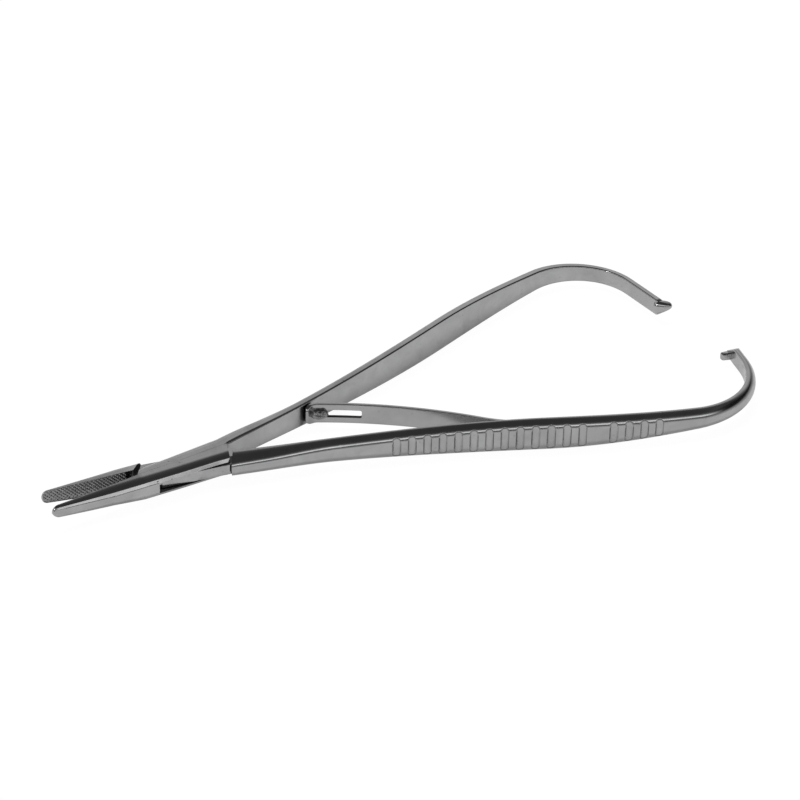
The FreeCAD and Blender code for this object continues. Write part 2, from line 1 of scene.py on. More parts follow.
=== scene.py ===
# %% [markdown]
# # A polished needle holder
# The steel of this instrument is drawn here as surfaces over the plain solids of the packed
# model. The solids come in first and stay where they are. Every visible piece is then worked
# out with numpy in millimetres, with the instrument closed, as its maker would draw it, and each
# half is turned open about the lock pin at the end. Drawing it closed keeps the formulas short.

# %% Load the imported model
import math
import bpy
import numpy as np
from mathutils import Matrix, Vector


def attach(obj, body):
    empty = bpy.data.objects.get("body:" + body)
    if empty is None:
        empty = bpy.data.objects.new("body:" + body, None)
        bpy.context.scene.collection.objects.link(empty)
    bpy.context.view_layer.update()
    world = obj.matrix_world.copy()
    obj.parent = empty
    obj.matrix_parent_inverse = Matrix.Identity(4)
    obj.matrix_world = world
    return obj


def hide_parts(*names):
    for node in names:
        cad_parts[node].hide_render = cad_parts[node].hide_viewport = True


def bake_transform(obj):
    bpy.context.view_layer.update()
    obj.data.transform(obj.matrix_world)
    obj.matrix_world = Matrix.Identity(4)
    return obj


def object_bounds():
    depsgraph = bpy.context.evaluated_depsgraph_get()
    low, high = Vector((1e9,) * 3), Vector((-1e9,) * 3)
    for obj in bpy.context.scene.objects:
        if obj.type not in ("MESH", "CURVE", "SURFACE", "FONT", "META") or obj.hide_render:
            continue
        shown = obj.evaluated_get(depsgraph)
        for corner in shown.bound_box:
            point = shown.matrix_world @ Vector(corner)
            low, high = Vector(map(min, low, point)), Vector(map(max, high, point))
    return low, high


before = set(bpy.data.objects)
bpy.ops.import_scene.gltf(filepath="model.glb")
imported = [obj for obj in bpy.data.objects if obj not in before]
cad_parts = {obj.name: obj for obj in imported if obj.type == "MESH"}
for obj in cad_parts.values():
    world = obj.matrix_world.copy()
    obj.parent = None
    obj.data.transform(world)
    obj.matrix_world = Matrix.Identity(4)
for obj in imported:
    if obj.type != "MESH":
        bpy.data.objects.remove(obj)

cad_box = [list(corner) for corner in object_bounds()]
print("CAD box in metres:", cad_box)

# %% [markdown]
# ## Opening the two halves
# The box half and the through half turn by the same angle, one each way, about the pin. One
# helper does this for any array of points, lifts the drawing so that the lock stands on z = 0,
# and changes millimetres to metres. Each mesh gets its place this way, so every object stays at
# the origin.

# %% The opening
OPEN_HALF, MID_HIGH = 6.3, 2.68
BOX, THROUGH = 1, -1


def opened(points, half):
    """Turns closed points in mm about Z by 6.3 degrees, + for the box half, and lifts them."""
    turn = math.radians(OPEN_HALF) * half
    x, y, z = points[..., 0], points[..., 1], points[..., 2]
    return 0.001 * np.stack([x * math.cos(turn) - y * math.sin(turn),
                             x * math.sin(turn) + y * math.cos(turn), z + MID_HIGH], axis=-1)


print("the arms stand", 2 * OPEN_HALF, "degrees apart")

# %% [markdown]
# ## A skin over rings
# A forged and ground arm is one section that changes slowly along a path. It could be extruded
# and bent, but a grid of rings gives every station its own thickness and height. The grid's
# quads join ring to ring, each ring closes on itself, and a flat face closes each end. The
# signed volume of the shell tells whether its faces point out, and turns them if not.

# %% The skin builder
CREASE = math.radians(32)


def volume(points, faces):
    """Sum over fan triangles of a . (b x c) / 6, positive where the faces point outwards."""
    full = 0.0
    for sides in sorted({len(face) for face in faces}):
        corner = points[np.array([face for face in faces if len(face) == sides])]
        for k in range(1, sides - 1):
            full += np.einsum("ij,ij->", corner[:, 0], np.cross(corner[:, k], corner[:, k + 1]))
    return full / 6.0


def skin(name, parts, half):
    """Joins grids of rings (stations, round the ring, xyz and painted shade) into one mesh of
    closed shells. Where a fourth number is given, it is kept on each point as its share of painted
    shade, a darkening that stands in for the shade in gaps, slots and cuts."""
    points, faces, shade_blocks = [], [], []
    for rings in parts:
        painted_shade = rings[..., 3] if rings.shape[-1] == 4 else 0.0 * rings[..., 0]
        rings = rings[..., :3]
        count, loop = rings.shape[:2]
        grid = np.arange(count * loop).reshape(count, loop)
        after = np.roll(grid, -1, axis=1)
        quads = np.stack([grid[:-1], after[:-1], after[1:], grid[1:]], axis=-1).reshape(-1, 4)
        shell = quads.tolist() + [grid[0, ::-1].tolist(), grid[-1].tolist()]
        flat = opened(rings, half).reshape(-1, 3)
        if volume(flat - flat.mean(axis=0), shell) < 0:
            shell = [face[::-1] for face in shell]
        start = sum(len(block) for block in points)
        faces += [[start + corner for corner in face] for face in shell]
        points.append(flat)
        shade_blocks.append(painted_shade.reshape(-1))
    mesh = bpy.data.meshes.new(name)
    mesh.from_pydata(np.concatenate(points).tolist(), [], faces)
    # The share of painted shade is kept as a point attribute that the steel reads to darken
    # itself.
    shade_layer = mesh.attributes.new("painted_shade", "FLOAT", "POINT")
    shade_layer.data.foreach_set("value", np.concatenate(shade_blocks).astype(np.float32))
    mesh.shade_smooth()
    mesh.set_sharp_from_angle(angle=CREASE)
    piece = bpy.data.objects.new(name, mesh)
    bpy.context.scene.collection.objects.link(piece)
    print(name, "has", len(mesh.polygons), "faces")
    return piece


# %% [markdown]
# ## The D section
# Jaws, box and arms share one section: a flat inner face, a flat top and bottom, and outer
# shoulders that fall away in a quarter of an oval, or in a narrower ground shoulder on the near
# jaw and the box's near side. Thickness and height come in as arrays, so one call makes every
# ring of a piece. More points sit where a flat meets a curve, which keeps the flats flat in the
# reflections of polished steel.

# %% The section
ROUND_SHARE, ROUND_HIGH = 0.63, 2.3
NEAR_SHARE = 0.9
FACET_HIGH, FACET_WIDE, FACET_EDGE = 1.8, 1.402, 0.09
EASE = np.array([0.02, 0.06, 0.2, 0.5, 0.8, 0.94, 0.98])
WALL = np.array([0.0, 0.4, 0.8, 0.96])
CORNER = np.radians([0, 22.5, 45, 67.5, 90])
SHOULDER = np.radians(np.linspace(0, 90, 16))


def smooth(share):
    """Eases from 0 to 1: 3 s^2 - 2 s^3 of a share held between 0 and 1."""
    share = np.clip(share, 0.0, 1.0)
    return share * share * (3.0 - 2.0 * share)


def column(values):
    """One value for each station, as a column."""
    return np.asarray(values, float).reshape(-1, 1)


def ground(thick, fall):
    """Depth and drop of a shoulder that was ground: 75 degrees of an oval, a facet that leans
    60 degrees, and a quick turn into the outer face. It is 1.4 falls and a little wide."""
    arc = np.radians(np.linspace(0, 75, 10))
    facet, turn = np.array([0.12, 0.5, 0.88, 1.0]), np.radians([22.5, 67.5])
    outer = thick - FACET_EDGE
    first = outer - FACET_WIDE * fall
    depth = [first + 1.224 * fall * np.sin(arc), outer - 0.22 * fall * (1 - facet),
             outer + FACET_EDGE * np.sin(turn)]
    drop = [0.486 * fall * (1 - np.cos(arc)), fall * (0.36 + 0.38 * facet),
            fall * (0.74 + 0.26 * turn / math.radians(90))]
    return np.concatenate(depth, axis=1), np.concatenate(drop, axis=1)


def upper_d(thick, high, start=0.0, bevel=0.03, wall=WALL, share=ROUND_SHARE, facet=False):
    """Depth and level round the upper half of the D: up the inner wall, over a small round edge,
    along the top, down a quarter oval or a ground shoulder, and down the outer face."""
    thick, high = np.broadcast_arrays(thick, high)
    start, bevel = np.broadcast_to(start, thick.shape), np.broadcast_to(bevel, thick.shape)
    half, flat = 0.5 * high, thick - start - bevel
    if facet:
        rise = np.minimum(np.minimum(FACET_HIGH, 0.49 * high), (flat - 0.1) / 1.43)
        reach = FACET_WIDE * rise + FACET_EDGE
        round_out, drop = ground(thick, rise)
    else:
        rise, reach = np.minimum(ROUND_HIGH, 0.49 * high), share * flat
        round_out, drop = thick - reach * (1 - np.sin(SHOULDER)), rise * (1 - np.cos(SHOULDER))
    depth = [start + 0 * wall, start + bevel * (1 - np.cos(CORNER)),
             start + bevel + EASE * (thick - reach - bevel - start), round_out,
             thick + 0 * EASE[:4]]
    level = [wall * (half - bevel), half - bevel * (1 - np.sin(CORNER)), half + 0 * EASE,
             half - drop, (half - rise) * (1 - EASE[[0, 2, 3, 5]])]
    return np.concatenate(depth, axis=1), np.concatenate(level, axis=1)


def whole_d(thick, high, start=0.0, bevel=0.03, wall=WALL, share=ROUND_SHARE, facet=False):
    """The upper half of the D and its mirror image below, as one closed loop."""
    depth, level = upper_d(thick, high, start, bevel, wall, share, facet)
    return (np.concatenate([depth, depth[:, :0:-1]], axis=1),
            np.concatenate([level, -level[:, :0:-1]], axis=1))


print("one ring has", whole_d(column([3.0]), column([5.0]))[0].shape[1], "points")

# %% [markdown]
# ## The path of an arm
# Seen from above, an arm leaves the lock straight, flares outwards, bellies back, turns through
# a hook and ends in a short straight. These are lines and arcs that meet without a kink. A chain
# of arcs has an exact formula: over a stretch d that turns by p, the chord is d sin(p/2)/(p/2)
# long and points halfway between the first and the last heading. The near arm's belly is as long
# as it takes for its claw to nest behind the far arm's end.

# %% Arcs in a chain
ROOT, HEADING = np.array([14.4, 0.15]), 8.9
FRONT = [(14.3, 0.0), (57.3, 7.8)]
FAR, NEAR = 1, -1
FAR_BELLY, END_THICK, NEST = 35.9, 2.3, 2.2


def follow(runs, places, root=ROOT, heading=HEADING):
    """Points and headings at places along runs of (length, turn in degrees)."""
    long = np.array([run[0] for run in runs])
    turn = np.radians([run[1] for run in runs])
    marks = np.concatenate([[0.0], np.cumsum(long)])
    ways = math.radians(heading) + np.concatenate([[0.0], np.cumsum(turn)])

    def chord(number, way_on):
        swing = turn[number] * way_on / long[number]
        reach, way = way_on * np.sinc(swing / (2 * math.pi)), ways[number] + 0.5 * swing
        return np.stack([reach * np.cos(way), reach * np.sin(way)], axis=-1)

    knots = np.concatenate([[root], root + np.cumsum(chord(np.arange(len(runs)), long), axis=0)])
    places = np.asarray(places, float)
    number = np.clip(np.searchsorted(marks, places, side="right") - 1, 0, len(runs) - 1)
    rest = places - marks[number]
    return knots[number] + chord(number, rest), ways[number] + turn[number] * rest / long[number]


def ended(runs, past):
    """Adds the straight that takes a path a given way past the middle line."""
    point, heading = follow(runs, [sum(run[0] for run in runs)])
    return runs + [((point[0, 1] + past) / -math.sin(heading[0]), 0.0)]


def near_runs(belly):
    """Runs of the near arm for a belly of a given length."""
    return ended(FRONT + [(belly, -11.3), (18.7 * math.radians(89.5), -89.5)], 2.4)


def length(runs):
    """Length of a chain of runs."""
    return sum(run[0] for run in runs)


far_path = ended(FRONT + [(FAR_BELLY, -7.25), (14.5 * math.radians(101.0), -101.0)], 3.8)
far_end = follow(far_path, [length(far_path)])[0][0]
ends = [follow(near_runs(b), [length(near_runs(b))])[0][0, 0] for b in (FAR_BELLY, FAR_BELLY + 1)]
near_path = near_runs(FAR_BELLY + (far_end[0] + END_THICK + NEST - ends[0]) / (ends[1] - ends[0]))
PATHS = {FAR: far_path, NEAR: near_path}
print("arm lengths in mm:", [round(length(path), 2) for path in PATHS.values()])

# %% [markdown]
# ## How an arm swells and thins
# The arms are flattened like a bow: low at the lock, high at the belly and low again at the
# claws, while their thickness only shrinks. Between those places the sizes ease from one value
# to the next, as a grinder's hand would take them.

# %% Height and thickness along an arm
LOCK_HIGH, BELLY_HIGH, END_HIGH = 5.36, 7.9, 4.1
WIDEST, LEAD = 71.6, 5.72
ARM_THICK, GRIP_THICK, TAPER = 4.2, 2.85, 22.88
JAW_THICK, BLOCK_THICK, BLOCK_LONG = 3.15, 4.3, 24.3


def arm_high(side, places):
    """Height at places: eased from lock to belly, and from belly to the end of the hook."""
    runs = PATHS[side]
    slim = WIDEST + runs[2][0] + 0.7 * runs[3][0]
    first = LOCK_HIGH + (BELLY_HIGH - LOCK_HIGH) * smooth((places - LEAD) / (WIDEST - LEAD))
    last = BELLY_HIGH + (END_HIGH - BELLY_HIGH) * smooth((places - WIDEST) / (slim - WIDEST))
    return np.where(places < WIDEST, first, last)


def arm_thick(side, places):
    """Thickness at places: stout at the lock, slim on the grip, slimmer at the end."""
    hook = length(PATHS[side][:3])
    first = ARM_THICK + (GRIP_THICK - ARM_THICK) * smooth(places / TAPER)
    last = GRIP_THICK + (END_THICK - GRIP_THICK) * smooth((places - hook) / PATHS[side][3][0])
    return np.where(places < hook, first, last)


def block_thick(x):
    """Thickness of the lock on the side that carries an arm: 3.15 in front to 4.3 behind."""
    return JAW_THICK + (BLOCK_THICK - JAW_THICK) * (x + 9.9) / BLOCK_LONG


print("belly thickness", float(arm_thick(FAR, np.array(60.0))), "mm")

# %% [markdown]
# ## From the lock into an arm
# The lock's side is straight and the arm leaves it at almost nine degrees. On the real piece a
# file has rounded that corner, so the two guides are mixed over a few millimetres: the share of
# the arm grows from nothing to all, with eased ends.

# %% The guide of a side
def side_guide(side, x):
    """Inner point, outward direction, thickness, height for places x along a side."""
    places = (x - ROOT[0]) / math.cos(math.radians(HEADING))
    places = np.where(x > 18.0, places, np.minimum(places, 5.0))
    point, way = follow(PATHS[side], places)
    share = column(smooth((x - 10.0) / 8.0))
    out = np.stack([-np.sin(way), np.cos(way)], axis=-1)
    plain = np.stack([x, 0 * x], axis=-1)
    base = plain + share * (point - plain)
    out = np.array([0.0, 1.0]) + share * (out - np.array([0.0, 1.0]))
    out /= np.linalg.norm(out, axis=1, keepdims=True)
    thick = column(block_thick(x)) * (1 - share) + share * column(arm_thick(side, places))
    high = LOCK_HIGH + share * (column(arm_high(side, places)) - LOCK_HIGH)
    base[:, 1] *= side
    out[:, 1] *= side
    return base, out, thick, high


def rings_of(base, out, depth, level, painted_shade=0.0):
    """Rings in space: base point + depth along the outward direction, at each level, with a
    share of painted shade as a fourth number.
    """
    flat = base[:, None, :] + depth[..., None] * out[:, None, :]
    return np.concatenate([flat, level[..., None], (painted_shade + 0 * level)[..., None]], axis=-1)


# %% [markdown]
# ## Grip grooves
# Thirteen short scallops, a bare step and four more give the fingers a grip on the outer face.
# They could be cut with a boolean, but a scallop is simply the smaller of two depths: that of
# the section, and that of a shallow cubic trough sunk 0.45 mm into the face. A soft minimum of
# the two leaves the polished edge that the buffing wheel leaves.

# %% Scallops
GROOVES = 36.4 + 3.58 * np.array([k for k in range(18) if k != 13])
GROOVE_WIDE, GROOVE_DEEP, GROOVE_SOFT = 1.9, 0.45, 0.03
GRIP_FROM, GRIP_TO = 46.0, 118.0


def scalloped(depth, thick, places):
    """Soft minimum of the depth and of the nearest scallop's cubic trough, and a thin line of
    painted shade where the two meet, standing in for the shade and dark reflection at the edge."""
    off = np.abs(column(places) - GROOVES).min(axis=1, keepdims=True)
    limit = thick - GROOVE_DEEP * (1 - (2 * np.minimum(off, 1.6) / GROOVE_WIDE) ** 3)
    apart = depth - limit
    lower = 0.5 * (depth + limit - np.sqrt(apart ** 2 + GROOVE_SOFT ** 2))
    cut = np.where(apart > -0.4, lower, depth)
    # painted shade: a thin dark line along each groove's edge
    line = np.exp(-(apart / 0.07) ** 2) * (off < 1.4)
    return cut, 0.9 * line


def arm_stations(side, first):
    """Stations from a place x in the lock to the end of the hook, close together on the grip."""
    end = ROOT[0] + length(PATHS[side]) * math.cos(math.radians(HEADING))
    steps = [np.arange(first, GRIP_FROM, 0.45), np.arange(GRIP_FROM, GRIP_TO, 0.13),
             np.arange(GRIP_TO, end - 0.3, 0.4), [end]]
    return np.concatenate(steps)


def arm_rings(side, x):
    """Rings of one arm: guide, D section with an inner edge that fades in, then the scallops."""
    base, out, thick, high = side_guide(side, x)
    places = (x - ROOT[0]) / math.cos(math.radians(HEADING))
    bevel = 0.03 + 0.37 * column(smooth((x - 12.8) / 2.0)) * thick / 3.0
    share = ROUND_SHARE if side == FAR else NEAR_SHARE
    depth, level = whole_d(thick, high, bevel=bevel, share=share)
    depth, line = scalloped(depth, thick, places)
    return rings_of(base, out, depth, level, line)


print(len(GROOVES), "grooves on each arm")

# %% [markdown]
# ## The far arm and its nose
# The far arm is one forging with the box. The smith spread the end of its hook to a small spoon,
# which snaps over the other arm's claw. The arm's own rings close as a dome, and the spoon is a
# flattened egg that grows out of that dome sideways, so no seam shows on the inner face. The
# arm's root end inside the lock and a narrow band of the inner face near the crotch are painted
# dark, as the shade that falls in the gap and in the crotch.

# %% The far arm
HOOK_FROM = 120.0


def rounded_end(rings, start, lead=0.5, reach=0.9):
    """Closes the end of the far arm as a dome about the middle of its section."""
    past, middle = start[1] - rings[..., 1], np.array([start[0] + 0.5 * END_THICK, 0.0])
    close = np.sqrt(1 - np.clip((past + lead) / (lead + reach), 0, 0.998) ** 2)
    on_end = (rings[..., 0] > HOOK_FROM) & (past > -lead)
    rings = rings.copy()
    for axis, centre in ((0, middle[0]), (2, middle[1])):
        drawn = centre + (rings[..., axis] - centre) * close
        rings[..., axis] = np.where(on_end, drawn, rings[..., axis])
    return rings


def spoon_rings(start, way=-34.0, long=4.7, wide=2.7):
    """Rings of the spoon: a flattened egg with full sides that leaves the arm's end sideways.
    It is as high as the arm at its root and thins towards its tip, above the other arm's claw."""
    along = np.sin(np.radians(np.linspace(-88, 88, 40)))[:, None]
    turn = np.linspace(0, 2 * math.pi, 48, endpoint=False)
    full = (1 - np.abs(along) ** 2.8) ** 0.45
    tip = smooth(0.5 + 0.5 * along)
    high, middle = 1.98 - 1.1 * tip, 0.06 + 0.5 * tip
    boxy = [np.sign(part) * np.abs(part) ** 0.75 for part in (np.cos(turn), np.sin(turn))]
    across, rise = 0.5 * wide * full * boxy[0], middle + high * full * boxy[1]
    ahead, side = (np.array([math.cos(math.radians(angle)), math.sin(math.radians(angle))])
                   for angle in (way, way + 90.0))
    centre = start + [1.4, -0.5]
    flat = centre + 0.5 * long * along[..., None] * ahead + across[..., None] * side
    return np.concatenate([flat, rise[..., None]], axis=-1)


end_past = 0.9 * np.sin(np.radians(np.arange(6, 91, 6)))
far_x = np.concatenate([[6.2], arm_stations(FAR, 6.22)])
far_x = np.concatenate([far_x, far_x[-1] + math.cos(math.radians(HEADING)) * end_past])
far_body = rounded_end(arm_rings(FAR, far_x), far_end)
# painted shade: the root's end face, in the gap of the lock, is painted dark
far_body[0, :, 3] = 1.0
# painted shade: a narrow dark band on the inner face near the crotch
crotch_shade = 0.75 * np.exp(-((far_x - 36.3) / 0.8) ** 2)
far_body[:, :4, 3] += column(crotch_shade)
far_body[:, -3:, 3] += column(crotch_shade)
far_arm = skin("far_arm", [far_body, spoon_rings(far_end)], BOX)

# %% [markdown]
# ## The near arm and its claw
# The near arm starts behind the box at a step that slants with the box's rear edge. Its first
# rings are sheared by that slant, and the shear fades out behind them. At the other end a ramp
# takes the upper half away, and the lower half carries a small claw that points inwards. The
# claw is a pad over a plan outline of straight lines and quadratic curves.

# %% The near arm
REAR_LEAN, REAR_AT, STEP_FADE = math.tan(math.radians(23.5)), 13.65, 5.2
CLAW_TOP, RAMP_LONG = -0.4, 3.7


def pad(outline, levels):
    """Closed pad over a plan outline: rings at (level, inset), drawn in towards the middle."""
    outline = np.asarray(outline, float)
    middle = outline.mean(axis=0)
    ray = outline - middle
    size = np.linalg.norm(ray, axis=1, keepdims=True)
    rings = [np.concatenate([middle + ray * (1 - inset / size), np.full((len(outline), 1), level)],
                            axis=1) for level, inset in levels]
    return np.stack(rings)


def curve(points, count=9):
    """Points on a quadratic curve from the first through to the last of three points."""
    t = np.linspace(0, 1, count)[:, None]
    a, b, c = np.asarray(points, float)
    return (1 - t) ** 2 * a + 2 * t * (1 - t) * b + t * t * c


def sheared(rings, lean, share):
    """Moves each point along x by lean times its distance from the middle line."""
    rings = rings.copy()
    rings[..., 0] += lean * share * np.abs(rings[..., 1])
    return rings


near_end = follow(near_path, [length(near_path)])[0][0] * [1, -1]
near_x = np.concatenate([[REAR_AT + 0.09], np.linspace(REAR_AT + 0.11, 19.0, 12)[:-1],
                         arm_stations(NEAR, 19.0)])
near_body, at_step = arm_rings(NEAR, near_x), column(1 - smooth((near_x - 13.8) / STEP_FADE))
near_body[..., 0] += at_step * (column(near_x) - near_body[..., 0])
near_body = sheared(near_body, -REAR_LEAN, at_step)
# painted shade: the step's end face, in the gap behind the box, is painted dark
near_body[0, :, 3] = 1.0
half_end = 0.5 * END_HIGH
up_ramp = near_body[..., 1] - near_end[1] + RAMP_LONG
ramp = half_end + (CLAW_TOP - half_end) * up_ramp / RAMP_LONG
on_end = (near_body[..., 0] > HOOK_FROM) & (near_body[..., 1] > near_end[1] - RAMP_LONG)
near_body[..., 2] = np.where(on_end, np.minimum(near_body[..., 2], ramp), near_body[..., 2])

claw_tip = near_end[0] - NEST + 0.2
claw_plan = np.concatenate([
    [[near_end[0] + 1.2, near_end[1] - 0.05]],
    curve([[claw_tip + 0.6, near_end[1] - 0.03], [claw_tip, near_end[1] - 0.03],
           [claw_tip, near_end[1] - 0.5]]),
    curve([[claw_tip + 0.02, near_end[1] - 0.9], [claw_tip + 0.05, near_end[1] - 1.4],
           [claw_tip + 0.6, near_end[1] - 1.5]]),
    [[near_end[0] + 1.2, near_end[1] - 1.8]]])
claw = pad(claw_plan, [(-2.2, 0.5), (-2.18, 0.2), (-2.05, 0.06), (-1.85, 0.0), (-0.72, 0.0),
                       (-0.5, 0.1), (-0.4, 0.3), (-0.38, 0.5)])
near_arm = skin("near_arm", [near_body, claw], THROUGH)

# %% [markdown]
# ## The jaws
# A jaw is a wedge with a domed tip. Its gripping face is cut with a fine diamond hatch, which
# could be left to a bump map, but real teeth catch the light better at this size. Two families
# of V cuts cross at an angle, and the deeper of the two wins at each point. Behind the teeth a
# smooth hollow keeps the face clear of the shoulder. The cuts and the hollow are painted darker,
# as the shade that falls into them.

# %% Sizes of a jaw
JAW_TIP, JAW_ROOT, TIP_RADIUS = -29.15, -9.4, 1.65
JAW_LEAN, FRONT_LEAN = math.tan(math.radians(1.2)), math.tan(math.radians(39.0))
TOOTH_STEP, TOOTH_DEEP = 0.9, 0.2
HOLLOW_AT, HOLLOW_HALF, HOLLOW_DEEP = -10.4, 0.95, 0.45


def jaw_thick(x):
    """Thickness: 0.95 at the tip to 3.75 at the root, then on to 5.25 at the arm's root."""
    front = 0.95 + 2.8 * (x - JAW_TIP) / (JAW_ROOT - JAW_TIP)
    return np.where(x < JAW_ROOT, front, 3.75 + 1.5 * (x - JAW_ROOT) / (ROOT[0] - JAW_ROOT))


def meeting_line(x):
    """Line on which the closed jaws meet: it leans 1.2 degrees off the middle line."""
    return np.maximum(-x, 0.0) * JAW_LEAN


def teeth(x, level):
    """Share of the hatch's depth: the larger of two crossing V cuts, faded at its ends."""
    first = np.abs(2 * ((x + level) / TOOTH_STEP % 1.0) - 1)
    second = np.abs(2 * ((x - level) / TOOTH_STEP % 1.0) - 1)
    fade = smooth((x + 30.4) / 0.4) * smooth((-11.2 + 0.15 * level - x) / 0.25)
    return np.maximum(first, second) * fade, fade


def hollow(x):
    """Share of the hollow behind the teeth: a parabola 1.9 mm long."""
    return np.maximum(1 - ((x - HOLLOW_AT) / HOLLOW_HALF) ** 2, 0.0)


# %% Build the jaws
def jaw_rings(side, x, turn):
    """Rings of a jaw: the wedge's D section, whose tip closes as a dome over the turns. The
    near tip is a rounder bullet that stands a little higher."""
    near = float(side == NEAR)
    grow = np.clip((x - JAW_TIP) / (JAW_ROOT - JAW_TIP), 0, 1)
    thick = column(jaw_thick(x) + 0.3 * near * (1 - grow) ** 2)
    thick = thick * (0.35 + 0.65 * np.cos(column(turn)))
    tip_high = 3.1 - 0.1 * near
    high = column(tip_high + (LOCK_HIGH - tip_high) * grow) * np.cos(column(turn))
    gap = 0.03 * column(x < JAW_ROOT)
    edge = np.minimum(0.05, 0.04 * high)
    depth, level = whole_d(thick, high, gap, edge, np.linspace(0, 1, 30)[:-1], facet=side == NEAR)
    face = (depth - gap < 1e-9).astype(float)
    face *= np.clip((0.5 * high - edge - np.abs(level)) / 0.08, 0, 1)
    cut, hatched = teeth(column(x), level)
    sunk = hollow(column(x))
    depth = depth + face * (TOOTH_DEEP * cut + HOLLOW_DEEP * sunk)
    # painted shade: darkest at the bottom of each cut and in the hollow
    painted_shade = face * (hatched * (0.02 + 0.28 * cut ** 2) + 0.85 * smooth(3 * sunk))
    base = np.stack([x, meeting_line(x)], axis=-1)
    rings = rings_of(base, np.tile([0.0, float(side)], (len(x), 1)), depth, level, painted_shade)
    rings[..., 2] += 0.5 * near * column(1 - grow) ** 2
    return rings


dome = np.radians(np.linspace(89.0, 0.0, 22))
tooth_x = np.arange(JAW_TIP + 0.07, -9.41, 0.07)
near_jaw_x = np.concatenate([JAW_TIP - TIP_RADIUS * np.sin(dome), tooth_x,
                             [-9.39, -8.6, -7.8, -7.0, -6.22, -6.2]])
near_rings = jaw_rings(NEAR, near_jaw_x, np.concatenate([dome, 0 * near_jaw_x[len(dome):]]))
# painted shade: the jaw's rear end face, in the gap of the slot, is painted dark
near_rings[-1, :, 3] = 1.0
near_jaw = skin("near_jaw", [near_rings], BOX)
far_jaw_x = np.concatenate([JAW_TIP - (TIP_RADIUS - 0.25) * np.sin(dome),
                            tooth_x[tooth_x < -9.62], [-9.57, -9.55]])
far_rings = jaw_rings(FAR, far_jaw_x, np.concatenate([dome, 0 * far_jaw_x[len(dome):]]))
# painted shade: the jaw's rear end face, in the gap of the slot, is painted dark
far_rings[-1, :, 3] = 1.0
far_share = column(smooth((far_jaw_x + 13.4) / 3.85)) * (far_rings[..., 1] - 0.23).clip(0)
far_rings[..., 0] += FRONT_LEAN * far_share
far_jaw = skin("far_jaw", [far_rings], THROUGH)

# %% [markdown]
# ## The box
# The box of the lock is two plates over and under a slot, which carry the near jaw in front and
# the far arm behind. Each plate is the top of the D section, cut off at the slot's level. Its
# ends on the far side in front and on the near side behind are slanted, and the first rings
# there are sheared in the same way as the arm's step.

# %% The plates
SLOT = 1.35


def plate_rings(side, x, thick, front, rear, under):
    """Rings of a plate: inner edge, top, shoulder down to the slot's level, and underside. The
    near side falls sooner, so that it leaves the taller outer face of the jaw."""
    thick, half = column(thick), 0.5 * LOCK_HIGH
    start = column(side * meeting_line(x))
    turns = np.linspace(0, math.acos(1 - (half - SLOT) / ROUND_HIGH), 14)
    reach = ROUND_SHARE * (thick - start)
    round_out = thick - reach * (1 - np.sin(turns))
    drop = ROUND_HIGH * (1 - np.cos(turns)) + 0 * thick
    if side == NEAR:
        round_out, drop = (part[:, :14] for part in ground(thick, FACET_HIGH + 0 * thick))
    depth = [start + 0 * WALL, start + EASE * (round_out[:, :1] - start), round_out,
             start + EASE[::-1] * (round_out[:, -1:] - start)]
    level = [SLOT + WALL * (half - SLOT), half + 0 * EASE, half - drop, SLOT + 0 * EASE]
    # painted shade: the underside, which faces into the slot, is painted dark
    painted_shade = [0 * WALL, 0 * EASE, 0 * turns, 0.9 + 0 * EASE]
    depth = np.concatenate([part + 0 * thick for part in depth], axis=1)
    level = np.concatenate([part + 0 * thick for part in level], axis=1) * under
    rings = rings_of(np.stack([x, 0 * x], axis=-1), np.tile([0.0, float(side)], (len(x), 1)),
                     depth, level, np.concatenate(painted_shade))
    # painted shade: the plate's end face at the gap is painted dark
    rings[0 if side == FAR else -1, :, 3] = 1.0
    return sheared(sheared(rings, FRONT_LEAN, column(front)), -REAR_LEAN, column(rear))


far_at = np.concatenate([[-9.54, -9.52, -9.0, -8.4, -7.8, -7.2, -6.6, -6.2],
                         np.linspace(-4, 6.2, 6)])
near_at = np.concatenate([np.linspace(-6.2, 8.0, 8), np.linspace(8.6, 13.55, 9), [13.57]])
plates = []
for under in (1, -1):
    plates.append(plate_rings(FAR, far_at, block_thick(far_at),
                              1 - smooth((far_at + 9.54) / 4.5), 0 * far_at, under))
    plates.append(plate_rings(NEAR, near_at, jaw_thick(near_at) - meeting_line(near_at),
                              0 * near_at, smooth((near_at - 8.0) / 5.57), under))
box_plates = skin("box_plates", plates, BOX)

# %% [markdown]
# ## The web
# A thin web runs through the slot and joins the near arm to the far jaw, with a round hub about
# the pin. Its outline is a star shape: in every direction from the pin it reaches as far as the
# farthest of the hub and four bars, two long ones that meet the jaw and the arm and two short
# ones that fill the slot. That makes it one formula in the angle. The long bars are turned by a
# hair, so that their edges stand clear of the box when the instrument is closed.

# %% The web's outline
WEB_HALF, HUB, BAR_WIDE, SHORT_BAR = 1.25, 3.3, 3.45, 6.12


def bar_reach(angle, along, across):
    """Distance from the pin to the edge of a bar that fills one quarter of the plan."""
    c, s = np.cos(angle), np.sin(angle)
    inside = (c * np.sign(along) >= -1e-9) & (s * np.sign(across) >= -1e-9)
    reach = np.minimum(abs(along) / np.maximum(np.abs(c), 1e-6),
                       abs(across) / np.maximum(np.abs(s), 1e-6))
    return np.where(inside, reach, 0.0)


